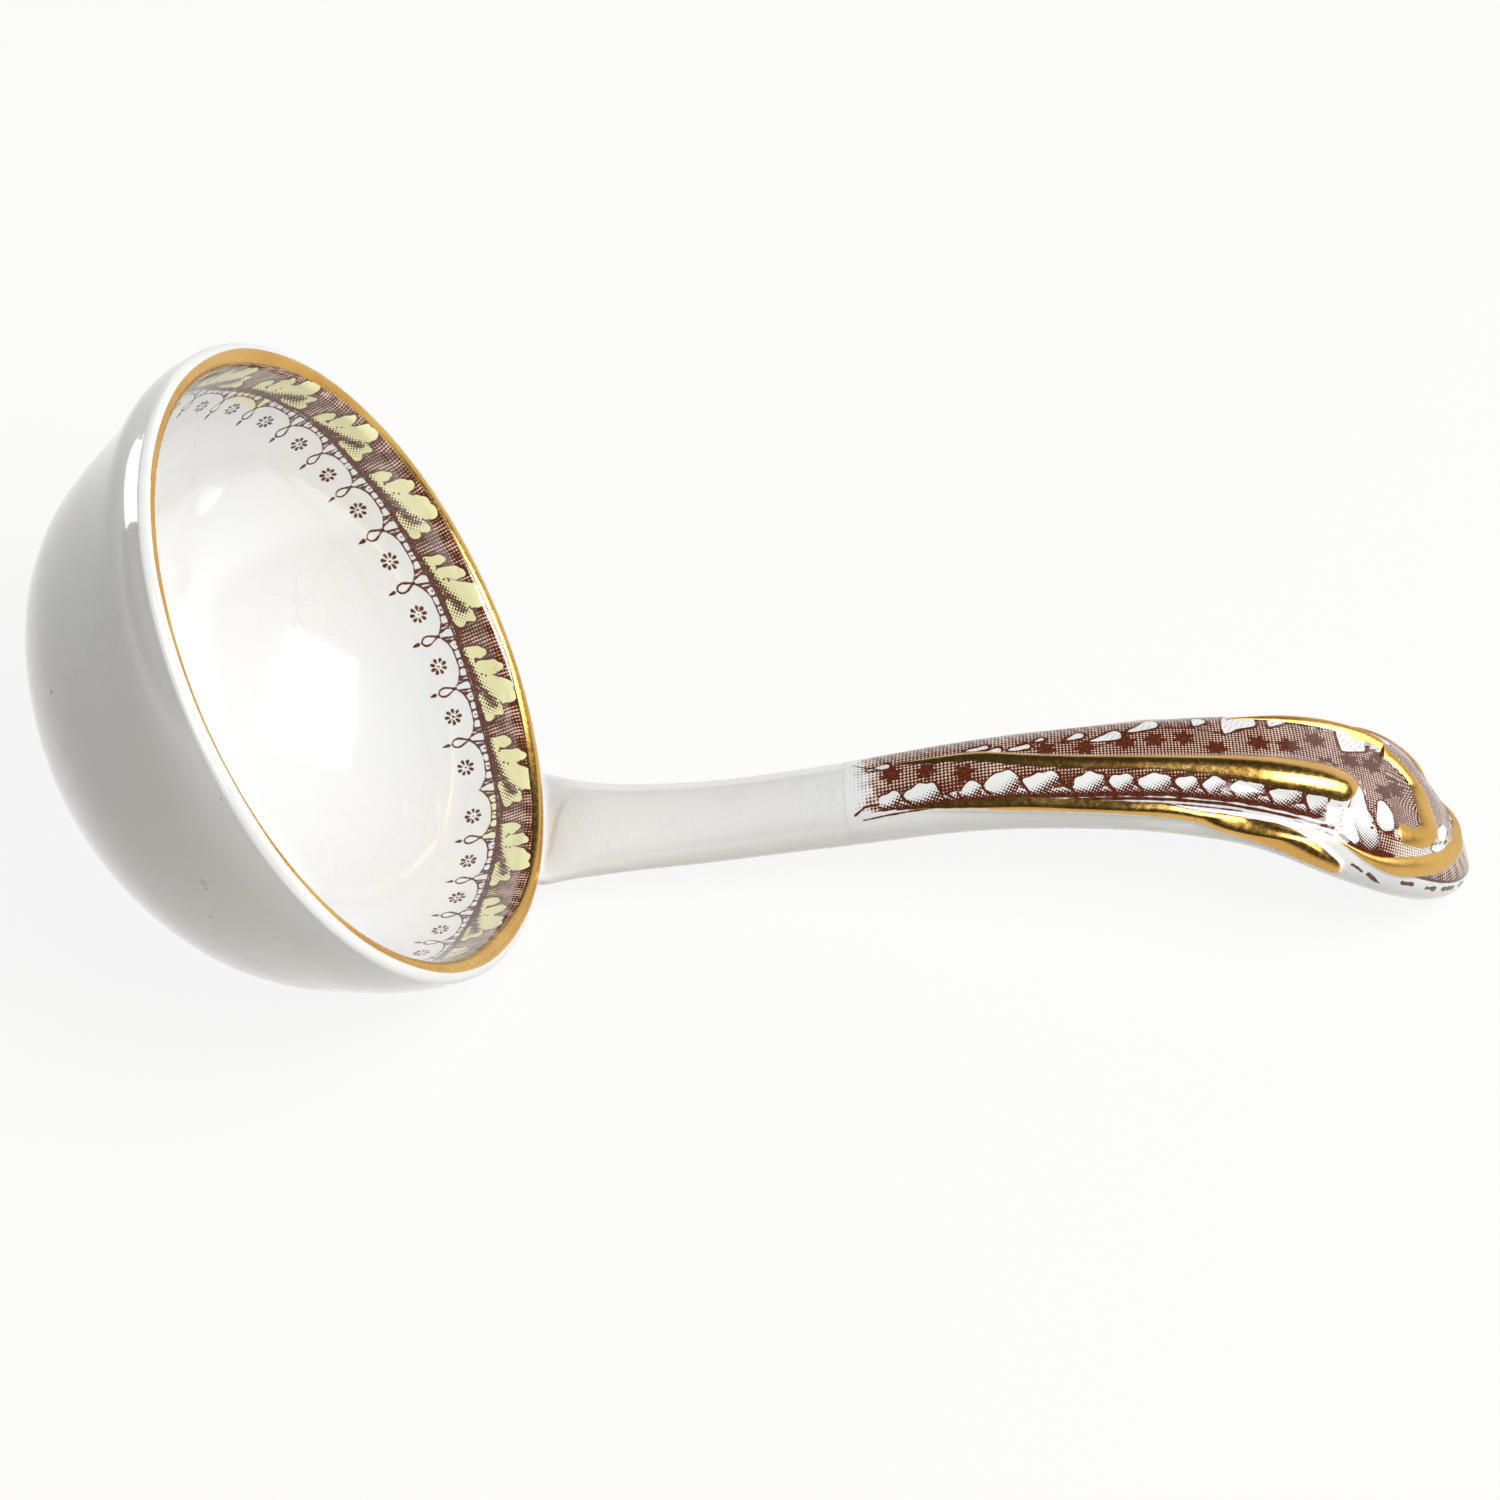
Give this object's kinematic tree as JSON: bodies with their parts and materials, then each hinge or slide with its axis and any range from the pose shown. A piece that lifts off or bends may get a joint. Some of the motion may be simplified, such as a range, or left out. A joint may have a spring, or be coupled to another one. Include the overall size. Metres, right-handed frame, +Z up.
{
  "type": "sauce ladle",
  "caption": "Glazed earthenware sauce ladle with a round bowl, a curved handle ending in a scroll, a printed brown border and gilt lines.",
  "frame": {"origin": "middle of the ladle's box at table level, with the ladle lying on the side of its bowl and the end of its handle", "axes": "+X along the ladle from the bowl to the handle's end, +Y across it, +Z up from the table"},
  "size_m": [0.1569, 0.072, 0.0637],
  "materials": {
    "glazed_earthenware": "glossy",
    "gilding": "polished",
    "coloured_print": "glossy"
  },
  "bodies": {
    "root": {"bowl": "glazed_earthenware", "handle": "glazed_earthenware", "handle_joint": "glazed_earthenware", "rim_gilding": "gilding", "bowl_border_print": "coloured_print", "handle_print": "coloured_print", "near_top_gilt_line": "gilding", "far_top_gilt_line": "gilding", "near_side_gilt_line": "gilding", "far_side_gilt_line": "gilding", "inner_scroll_gilding": "gilding", "outer_scroll_gilding": "gilding"}
  },
  "joints": []
}
